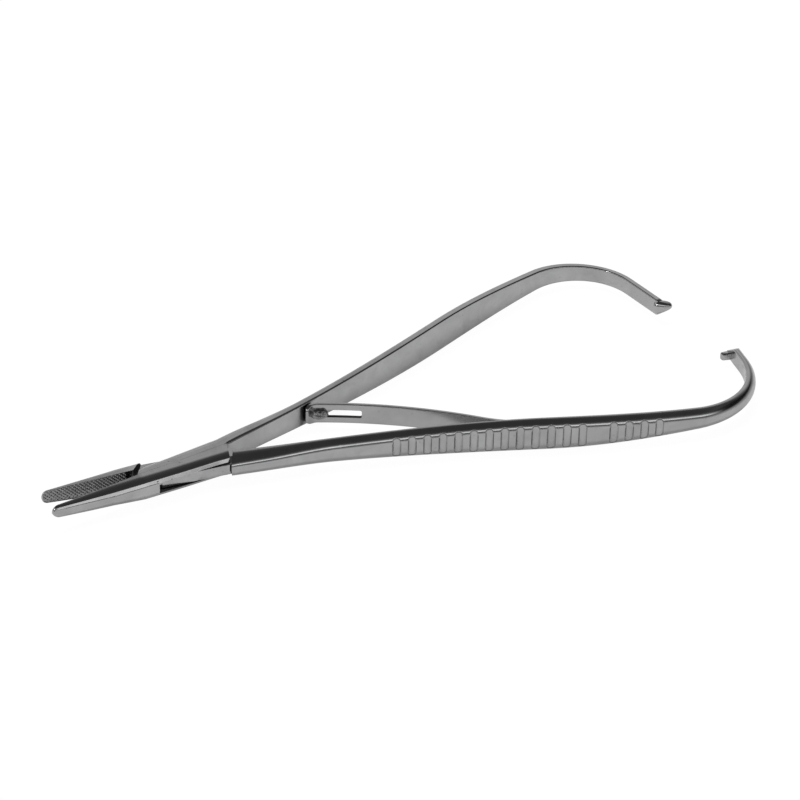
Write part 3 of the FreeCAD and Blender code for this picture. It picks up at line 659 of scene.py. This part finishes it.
corners = [math.atan2(-BAR_WIDE, 14.3), math.atan2(BAR_WIDE, -10.1)]
angles = np.sort(np.concatenate([np.linspace(-math.pi, math.pi, 240, endpoint=False), corners,
                                 [1e-4, math.pi - 1e-4, -math.pi / 2 + 1e-4, math.pi / 2 - 1e-4]]))
bars = [bar_reach(angles + 0.01, 14.3, -BAR_WIDE), bar_reach(angles + 0.03, -10.1, BAR_WIDE),
        np.minimum(bar_reach(angles, -6.0, -BAR_WIDE), SHORT_BAR),
        np.minimum(bar_reach(angles, 6.0, BAR_WIDE), SHORT_BAR)]
reach = np.max([HUB + 0 * angles, *bars], axis=0)
web_plan = column(reach) * np.stack([np.cos(angles), np.sin(angles)], axis=-1)
# painted shade: the web's top and bottom faces are painted dark
web_levels = [(-WEB_HALF, 0.1, 1.0), (-1.15, 0.0, 0.0), (1.15, 0.0, 0.0), (WEB_HALF, 0.1, 1.0)]
web_rings = np.stack([np.concatenate([web_plan * (1 - inset / column(reach)),
                                      np.tile([level, painted_shade], (len(angles), 1))], axis=1)
                      for level, inset, painted_shade in web_levels])
# painted shade is kept only beyond 10 mm from the pin, in the gap at the step
web_rings[..., 3] *= web_rings[..., 0] > 10.0
web = skin("web", [web_rings], THROUGH)

# %% [markdown]
# ## The leaf spring
# A strip of spring steel is screwed flat to the near arm, bows off it, comes back and curls
# against the far arm. Near the curl a long slot lets the stud slide. The strip is built as an
# upper and a lower band, and where the slot is, the edge between them opens by the height of a
# long hole with small round corners. The strip thins and lowers over its last two millimetres.

# %% The leaf's path and slot
LEAF_ROOT, LEAF_HALF, LEAF_HIGH = 69.5, 0.5, 2.5
LEAF_PATH = [(13.1125, -23.7), (37.9423, 19.0), (3.4034, 75.0)]
LEAF_SEAT, LEAF_TO, LEAF_ROUND, LEAF_RIM = 0.6, 54.45, 52.6, 0.18
SLOT_AT, SLOT_HALF, SLOT_RISE, SLOT_CORNER = 46.6, 5.75, 1.0, 0.45
leaf_root, leaf_way = follow(near_path, [LEAF_ROOT])
leaf_out = np.array([-math.sin(leaf_way[0]), math.cos(leaf_way[0])])
leaf_start = (leaf_root[0] - leaf_out * LEAF_SEAT) * [1, -1]
leaf_heading = math.degrees(math.pi - leaf_way[0])


def leaf_guide(places):
    """Middle points and left-hand directions along the leaf; before 0 it follows the arm."""
    point, way = follow(LEAF_PATH, np.maximum(places, 0.0), leaf_start, leaf_heading)
    seat, seat_way = follow(near_path, LEAF_ROOT - np.minimum(places, 0.0))
    seat_out = np.stack([-np.sin(seat_way), np.cos(seat_way)], axis=-1)
    seat = (seat - LEAF_SEAT * seat_out) * [1, -1]
    left = np.stack([-np.sin(way), np.cos(way)], axis=-1)
    on_arm = column(places < 0)
    return np.where(on_arm, seat, point), np.where(on_arm, seat_out * [1, -1], left)


def slot_edge(places):
    """Half height of the slot: 1 mm along its middle, with small round corners at each end."""
    into = np.clip(SLOT_HALF - np.abs(places - SLOT_AT), -1.0, SLOT_CORNER)
    fall = np.sqrt(np.clip(SLOT_CORNER ** 2 - (SLOT_CORNER - into) ** 2, 0, None))
    return np.where(into > 0, SLOT_RISE - SLOT_CORNER + fall, 0.0)


# %% Build the leaf
def leaf_band(places, under):
    """Rings of one band: from the slot's edge out over the rounded rim and back."""
    base, left = leaf_guide(places)
    edge = column(slot_edge(places))
    turns = np.radians(np.linspace(0, 90, 6))
    rise = np.array([0.0, 0.04, 0.5, 0.96])
    tip = column(np.sqrt(np.clip(1 - ((places - LEAF_ROUND) / 1.87).clip(0, 1) ** 2, 0.01, 1)))
    half, top = LEAF_HALF * (0.4 + 0.6 * tip), LEAF_HIGH * (0.5 + 0.5 * tip)
    shoulder = top - LEAF_RIM
    offset = [-half + 0 * rise, -half + LEAF_RIM * (1 - np.cos(turns)),
              half - LEAF_RIM * (1 - np.cos(turns[::-1])), half + 0 * rise]
    level = [edge + rise * (shoulder - edge), top - LEAF_RIM * (1 - np.sin(turns)) + 0 * half,
             top - LEAF_RIM * (1 - np.sin(turns[::-1])) + 0 * half,
             edge + rise[::-1] * (shoulder - edge)]
    level = np.concatenate(level, axis=1)
    # painted shade: the walls of the slot are painted dark
    painted_shade = 0.9 * (level < edge + 0.01) * (edge > 0)
    return rings_of(base, left, np.concatenate(offset, axis=1), under * level, painted_shade)


round_off = SLOT_CORNER * (1 - np.cos(np.radians(np.linspace(12, 90, 8))))
rim = np.concatenate([[-0.004, 0.0], round_off])
leaf_x = np.unique(np.concatenate([
    np.linspace(-13.0, LEAF_TO, 150), SLOT_AT - SLOT_HALF + rim, SLOT_AT + SLOT_HALF - rim,
    np.linspace(LEAF_ROUND, LEAF_TO, 16)]).round(4))
leaf = skin("leaf", [leaf_band(leaf_x, 1), leaf_band(leaf_x, -1)], THROUGH)

# %% [markdown]
# ## The stud and the pin
# The stud is riveted in the far arm and its head was hammered over the leaf's slot, so the head
# is an uneven oval with dents. It is a dome in polar form with a few waves added to its radius
# and its height. It is drawn where it stands over the leaf at rest, in the through half's turn,
# though it moves with the far arm. The pin of the lock is ground flush: only a hair of it shows
# on each face.

# %% Build the stud and the pin
def dome_rings(long, wide, high, sharp, dents, count=56):
    """Rings of a dome: height high (1 - r^sharp), radius and height waved by small dents."""
    angle = np.linspace(0, 2 * math.pi, count, endpoint=False)
    radius = column(np.concatenate([[1.0, 1.0], np.linspace(0.99, 0.02, 20)]))
    wave = 1 + dents * (0.5 * np.sin(2 * angle + 0.6) + 0.4 * np.sin(5 * angle)
                        + 0.3 * np.cos(9 * angle))
    level = high * (1 - radius ** sharp) ** 0.6
    knocks = np.sin(7.3 * radius + 3 * angle) * np.cos(4 * angle - 5 * radius) + 0.6 * np.sin(
        11 * radius * np.cos(angle + 0.7))
    level = level * (1 + 1.1 * dents * knocks)
    level[0] = -0.08
    return np.stack([0.5 * long * radius * wave * np.cos(angle),
                     0.5 * wide * radius * wave * np.sin(angle), level + 0 * angle], axis=-1)


def tube_rings(radius, low, high, count=40):
    """Rings of a round shank with a small chamfer at both ends."""
    angle = np.linspace(0, 2 * math.pi, count, endpoint=False)
    thin = radius - 0.05
    steps = [(thin, low), (radius, low + 0.05), (radius, high - 0.05), (thin, high)]
    return np.stack([np.stack([r * np.cos(angle), r * np.sin(angle), 0 * angle + z], axis=-1)
                     for r, z in steps])


def laid(rings, origin, x_axis, z_axis):
    """Lays rings drawn about Z along two directions at a place."""
    x_axis, z_axis = np.array([*x_axis, 0.0]), np.array([*z_axis, 0.0])
    axes = np.stack([x_axis, np.cross(z_axis, x_axis), z_axis])
    return rings @ axes + np.array([*origin, 0.0])


STUD_AT = 50.7
head_point, head_left = leaf_guide(np.array([STUD_AT]))
head_at, up = head_point[0] + LEAF_SEAT * head_left[0], head_left[0]
ahead = np.array([up[1], -up[0]])
stud = skin("stud", [laid(dome_rings(4.2, 2.9, 1.1, 2.6, 0.09), head_at, ahead, up),
                     laid(tube_rings(0.8, -2.9, 0.3), head_at, ahead, up)], THROUGH)
pin = skin("pin", [tube_rings(1.5, -2.683, 2.683, 64)], BOX)

# %% [markdown]
# ## Polished steel
# The maker polished the forging on a wheel and it has seen some handling. Its mirror is broken
# by hair-fine scratches, faint smears and a few tiny pits. One node group works them out from
# object coordinates in millimetres, and each material takes them with its own strength. The
# shader stays in the material.

# %% A small helper for nodes
def node(tree, kind, inputs=(), **settings):
    """Adds a node, sets its settings, and fills or links its inputs by name or number."""
    made = tree.nodes.new(kind)
    for key, value in settings.items():
        setattr(made, key, value)
    for key, value in dict(inputs).items():
        if isinstance(value, bpy.types.NodeSocket):
            tree.links.new(value, made.inputs[key])
        else:
            made.inputs[key].default_value = value
    return made


def maths(tree, operation, first, second=0.0, clamp=False):
    """One Math node; returns its value."""
    return node(tree, "ShaderNodeMath", {0: first, 1: second}, operation=operation,
                use_clamp=clamp).outputs[0]


# %% The wear group
def wear_group():
    """Mixes long scratches, smears and pits into a tint, a roughness and a height."""
    tree = bpy.data.node_groups.new("handled_polish", "ShaderNodeTree")
    for name, kind in (("Vector", "Vector"), ("Clean", "Color"), ("Dulled", "Color"),
                       ("Sheen roughness", "Float"), ("Scratching", "Float"),
                       ("Pitting", "Float")):
        tree.interface.new_socket(name, in_out="INPUT", socket_type="NodeSocket" + kind)
    for name, kind in (("Tint", "Color"), ("Roughness", "Float"), ("Height", "Float")):
        tree.interface.new_socket(name, in_out="OUTPUT", socket_type="NodeSocket" + kind)
    entry, leave = tree.nodes.new("NodeGroupInput"), tree.nodes.new("NodeGroupOutput")
    mm = node(tree, "ShaderNodeVectorMath", {0: entry.outputs["Vector"], 3: 1000.0},
              operation="SCALE").outputs[0]
    long = node(tree, "ShaderNodeVectorMath", {0: mm, 1: (0.3, 1.6, 1.6)}, operation="MULTIPLY")
    scratch = node(tree, "ShaderNodeTexNoise", {"Vector": long.outputs[0], "Scale": 6.0,
                                                "Detail": 3.0, "Roughness": 0.6,
                                                "Distortion": 0.25})
    smear = node(tree, "ShaderNodeTexNoise", {"Vector": mm, "Scale": 0.16, "Detail": 4.0,
                                              "Roughness": 0.6, "Distortion": 0.8})
    cells = node(tree, "ShaderNodeTexVoronoi", {"Vector": mm, "Scale": 0.42, "Randomness": 1.0})
    pit = node(tree, "ShaderNodeMapRange", {"Value": cells.outputs["Distance"], "From Min": 0.05,
                                            "From Max": 0.13, "To Min": 1.0, "To Max": 0.0})
    pit = maths(tree, "MULTIPLY", pit.outputs[0], entry.outputs["Pitting"])
    dull = maths(tree, "MULTIPLY_ADD", smear.outputs[0], 1.6)
    dull.node.inputs[2].default_value = -0.45
    dull = maths(tree, "ADD", dull, pit, clamp=True)
    tint = node(tree, "ShaderNodeMix", {0: dull, 6: entry.outputs["Clean"],
                                        7: entry.outputs["Dulled"]}, data_type="RGBA")
    rough = maths(tree, "MULTIPLY_ADD", dull, 0.07)
    tree.links.new(entry.outputs["Sheen roughness"], rough.node.inputs[2])
    lines = maths(tree, "MULTIPLY", scratch.outputs[0], entry.outputs["Scratching"])
    height = maths(tree, "SUBTRACT", lines, pit)
    for name, value in (("Tint", tint.outputs[2]), ("Roughness", rough), ("Height", height)):
        tree.links.new(value, leave.inputs[name])
    return tree


handled = wear_group()
print("node group", handled.name, "with", len(handled.nodes), "nodes")

# %% [markdown]
# ## One recipe, four steels
# Forging, leaf, stud and screw are all steel, but differ in how dark and how smooth they are.
# The hammered stud has coarse bumps of its own. Where a mesh carries painted shade, as in the
# cuts of the teeth, along the grooves and on faces in the gaps of the lock, the recipe darkens
# and dulls the steel by that share.

# %% Materials
# The last colour is the near-black grey that painted shade mixes into the steel.
PITTING, BUMP, SHADE_GREY = 0.5, 0.00002, (0.025, 0.025, 0.025, 1)


def steel(name, clean, dulled, rough, scratching=0.12, dents=0.0):
    """A metallic Principled shader fed by the wear group and the mesh's painted shade, with
    optional hammer dents."""
    material = bpy.data.materials.new(name)
    material.use_nodes = True
    tree = material.node_tree
    tree.nodes.clear()
    coords = node(tree, "ShaderNodeTexCoord").outputs["Object"]
    wear = node(tree, "ShaderNodeGroup", node_tree=handled)
    tree.links.new(coords, wear.inputs["Vector"])
    for key, value in (("Clean", (*clean, 1)), ("Dulled", (*dulled, 1)),
                       ("Sheen roughness", rough), ("Scratching", scratching),
                       ("Pitting", PITTING)):
        wear.inputs[key].default_value = value
    height = wear.outputs["Height"]
    if dents:
        knocks = node(tree, "ShaderNodeTexNoise", {"Vector": coords, "Scale": 1500.0,
                                                   "Detail": 2.0})
        height = maths(tree, "MULTIPLY_ADD", knocks.outputs[0], dents)
        tree.links.new(wear.outputs["Height"], height.node.inputs[2])
    relief = node(tree, "ShaderNodeBump", {"Height": height, "Strength": 1.0, "Distance": BUMP})
    # painted shade: the mesh's share darkens the steel towards near-black and roughens it
    painted_shade = node(tree, "ShaderNodeAttribute", attribute_name="painted_shade").outputs["Fac"]
    tint = node(tree, "ShaderNodeMix", {0: painted_shade, 6: wear.outputs["Tint"], 7: SHADE_GREY},
                data_type="RGBA")
    rough = maths(tree, "MULTIPLY_ADD", painted_shade, 0.25)
    tree.links.new(wear.outputs["Roughness"], rough.node.inputs[2])
    shader = node(tree, "ShaderNodeBsdfPrincipled", {
        "Base Color": tint.outputs[2], "Roughness": rough, "Normal": relief.outputs[0],
        "Metallic": 1.0})
    node(tree, "ShaderNodeOutputMaterial", {"Surface": shader.outputs[0]})
    return material


forging = steel("polished_forging", (0.46, 0.46, 0.465), (0.33, 0.33, 0.335), 0.13)
spring_steel = steel("spring_leaf_steel", (0.45, 0.45, 0.45), (0.37, 0.37, 0.37), 0.15)
hammered = steel("hammered_stud", (0.36, 0.36, 0.36), (0.15, 0.15, 0.15), 0.24, dents=7.0)
screw_steel = steel("screw_steel", (0.45, 0.45, 0.45), (0.33, 0.33, 0.33), 0.2, scratching=0.6)
print("materials:", [m.name for m in (forging, spring_steel, hammered, screw_steel)])

# %% [markdown]
# ## Putting the pieces on their bodies
# Every piece is fixed to the body that it moves with, and takes the place of a plain solid. The
# leaf is the exception: its root is screwed to the near arm, and its free end is held by the
# stud of the far arm, so it is fixed to neither body and stays where it is drawn. Only the two
# points that it would bend between are worked out. That is simpler than the real leaf, which
# also slides along the stud.

# %% Ride, replace and finish
def fix(piece, material, slot, body, *nodes):
    """Gives a piece its steel, the body it rides on and the solids it hides.
    The slot is not used.
    """
    piece.data.materials.append(material)
    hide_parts(*nodes)
    if body:
        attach(piece, body)


for piece in (far_arm, near_jaw, box_plates):
    fix(piece, forging, "forging", "box_body", "box_half")
for piece in (near_arm, far_jaw, web):
    fix(piece, forging, "forging", "through_body", "through_half")
fix(pin, forging, "forging", "box_body", "lock_pin")
fix(stud, hammered, "fixings", "box_body", "slot_stud")
fix(leaf, spring_steel, "spring", None, "leaf_spring")
bend_points = leaf_guide(np.array([-1.0, 40.0]))[0]
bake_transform(leaf)
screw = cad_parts["spring_screw"]
screw.data.materials.clear()
screw.data.materials.append(screw_steel)

# %% [markdown]
# ## A pale table
# The photograph has no edge of a table and hardly a shadow. The table is matte white, but for
# the camera it is almost all glow, and in the steel's reflections partly so. Only a faint shadow
# is left of it that way.

# %% The floor
def floor_grid(reach, low, count=9):
    """Flat grid of the table's top, at the level of the instrument's lowest point."""
    steps = np.linspace(-reach, reach, count)
    x, y = np.meshgrid(steps, steps, indexing="ij")
    points = np.stack([x, y, 0 * x + low], axis=-1).reshape(-1, 3)
    grid = np.arange(count * count).reshape(count, count)
    quads = np.stack([grid[:-1, :-1], grid[1:, :-1], grid[1:, 1:], grid[:-1, 1:]], axis=-1)
    mesh = bpy.data.meshes.new("table")
    mesh.from_pydata(points.tolist(), [], quads.reshape(-1, 4).tolist())
    table = bpy.data.objects.new("table", mesh)
    bpy.context.scene.collection.objects.link(table)
    return table


SEEN_GLOW, MIRRORED_GLOW = 0.93, 0.3
table = floor_grid(3.0, cad_box[0][2] - 0.00005)
paper = bpy.data.materials.new("white_table")
paper.use_nodes = True
tree = paper.node_tree
tree.nodes.clear()
seen = node(tree, "ShaderNodeLightPath")
direct = maths(tree, "MULTIPLY", seen.outputs["Is Camera Ray"], SEEN_GLOW)
share = maths(tree, "MULTIPLY_ADD", seen.outputs["Is Glossy Ray"], MIRRORED_GLOW)
tree.links.new(direct, share.node.inputs[2])
matte = node(tree, "ShaderNodeBsdfDiffuse", {"Color": (0.9, 0.9, 0.9, 1)})
glow = node(tree, "ShaderNodeEmission", {"Color": (1, 1, 1, 1), "Strength": 1.04})
mixed = node(tree, "ShaderNodeMixShader", {0: share, 1: matte.outputs[0], 2: glow.outputs[0]})
node(tree, "ShaderNodeOutputMaterial", {"Surface": mixed.outputs[0]})
table.data.materials.append(paper)
print("table with", len(table.data.polygons), "faces")

# %% [markdown]
# ## A studio of bands
# Polished steel shows what is around it. The photographer's tent is light at the sides, darker
# overhead and has one bright strip low on the near side. A world that depends only on the
# direction of a ray paints this: three bands of greys by height, for the near side, the far side
# and the right, which ease into each other around the compass. The camera sees plain white.

# %% The bands
NEAR_BAND = [(0.0, 0.2), (0.13, 0.2), (0.2, 0.04), (0.33, 0.04), (0.37, 0.7), (0.53, 0.7),
             (0.57, 0.2), (0.71, 0.06), (0.82, 0.03), (1.0, 0.03)]
FAR_BAND = [(0.0, 0.27), (0.17, 0.27), (0.34, 0.33), (0.52, 0.36), (0.59, 0.22), (0.68, 0.05),
            (0.91, 0.03), (1.0, 0.03)]
RIGHT_BAND = [(0.0, 0.35), (0.09, 0.27), (0.26, 0.14), (0.38, 0.01), (0.71, 0.005),
              (0.82, 0.08), (1.0, 0.05)]


def band(tree, height, stops):
    """Greys by the sine of the elevation."""
    ramp = node(tree, "ShaderNodeValToRGB", {0: height})
    line = ramp.color_ramp
    while len(line.elements) < len(stops):
        line.elements.new(1.0)
    for element, (place, grey) in zip(line.elements, stops):
        element.position = place
        element.color = (grey, grey, grey, 1)
    return ramp.outputs[0]


def sector(tree, way, centre, low, high):
    """Share of a compass sector: eased from 0 to 1 as the ray turns towards its centre."""
    toward = node(tree, "ShaderNodeVectorMath", {0: way, 1: centre}, operation="DOT_PRODUCT")
    eased = node(tree, "ShaderNodeMapRange", {"Value": toward.outputs["Value"], "From Min": low,
                                              "From Max": high}, interpolation_type="SMOOTHSTEP")
    return eased.outputs[0]


print("bands with", [len(stops) for stops in (NEAR_BAND, FAR_BAND, RIGHT_BAND)], "stops")

# %% The world
world = bpy.data.worlds.new("studio")
bpy.context.scene.world = world
world.use_nodes = True
tree = world.node_tree
tree.nodes.clear()
way = node(tree, "ShaderNodeTexCoord").outputs["Generated"]
split = node(tree, "ShaderNodeSeparateXYZ", {0: way})
height = split.outputs["Z"]
near_share = sector(tree, way, (-0.49, -0.87, 0.0), -0.25, 0.25)
right_share = sector(tree, way, (0.98, -0.17, 0.0), 0.45, 0.8)
around = node(tree, "ShaderNodeMix", {0: near_share, 6: band(tree, height, FAR_BAND),
                                      7: band(tree, height, NEAR_BAND)}, data_type="RGBA")
around = node(tree, "ShaderNodeMix", {0: right_share, 6: around.outputs[2],
                                      7: band(tree, height, RIGHT_BAND)}, data_type="RGBA")
lit = node(tree, "ShaderNodeBackground", {"Color": around.outputs[2], "Strength": 2.0})
plain = node(tree, "ShaderNodeBackground", {"Color": (1, 1, 1, 1), "Strength": 1.0})
path = node(tree, "ShaderNodeLightPath")
picked = node(tree, "ShaderNodeMixShader", {0: path.outputs["Is Camera Ray"], 1: lit.outputs[0],
                                            2: plain.outputs[0]})
node(tree, "ShaderNodeOutputWorld", {"Surface": picked.outputs[0]})
print("world", world.name, "with", len(tree.nodes), "nodes")

# %% [markdown]
# ## A soft lamp and a bulb
# The world gives the reflections, and a broad lamp above the far side gives the faint soft
# shadow under the arms. It is hidden from mirror rays so that it doesn't burn a second shape
# into the steel. A small bulb on the left puts the white sparks on the rounded tips.

# %% The lamps
def area_lamp(name, place, size_x, size_y, energy, mirrored):
    """Rectangular lamp that looks at the middle of the instrument."""
    lamp = bpy.data.lights.new(name, "AREA")
    lamp.shape, lamp.size, lamp.size_y, lamp.energy = "RECTANGLE", size_x, size_y, energy
    made = bpy.data.objects.new(name, lamp)
    made.location = place
    aim = Vector((0.06, 0, 0)) - made.location
    made.rotation_euler = aim.to_track_quat("-Z", "Y").to_euler()
    made.visible_glossy = mirrored
    bpy.context.scene.collection.objects.link(made)


area_lamp("soft_box", (0.05, 0.25, 0.7), 0.6, 0.4, 3.4, False)
area_lamp("bulb_left", (-0.7, -0.05, 0.35), 0.07, 0.07, 0.6, True)

# %% [markdown]
# ## The camera
# The camera was found by matching points of the drawing to the photograph: its turn about the
# instrument, its height above the table, a small roll, its distance and its lens. Its axes are
# built from those angles, so nothing is left to aiming by eye.

# %% The camera's place
AIM, DISTANCE, LENS = np.array([59.0, 3.17, 2.68]), 651.6, 126.24
turn, lift, roll = (math.radians(value) for value in (-29.366, 32.009, 0.918))
right = np.array([math.cos(turn), math.sin(turn), 0.0])
back = np.array([math.sin(turn) * math.cos(lift), -math.cos(turn) * math.cos(lift),
                 math.sin(lift)])
above = np.cross(back, right)
right, above = (right * math.cos(roll) + above * math.sin(roll),
                above * math.cos(roll) - right * math.sin(roll))
camera = bpy.data.objects.new("camera", bpy.data.cameras.new("camera"))
camera.data.sensor_width, camera.data.lens = 36.0, LENS
camera.matrix_world = Matrix.Translation(Vector(0.001 * (AIM + DISTANCE * back))) @ Matrix(
    np.stack([right, above, back], axis=1).tolist()).to_4x4()
bpy.context.scene.collection.objects.link(camera)
bpy.context.scene.camera = camera
bpy.context.scene.view_settings.view_transform = "Standard"
print("camera at", [round(value, 3) for value in camera.location])
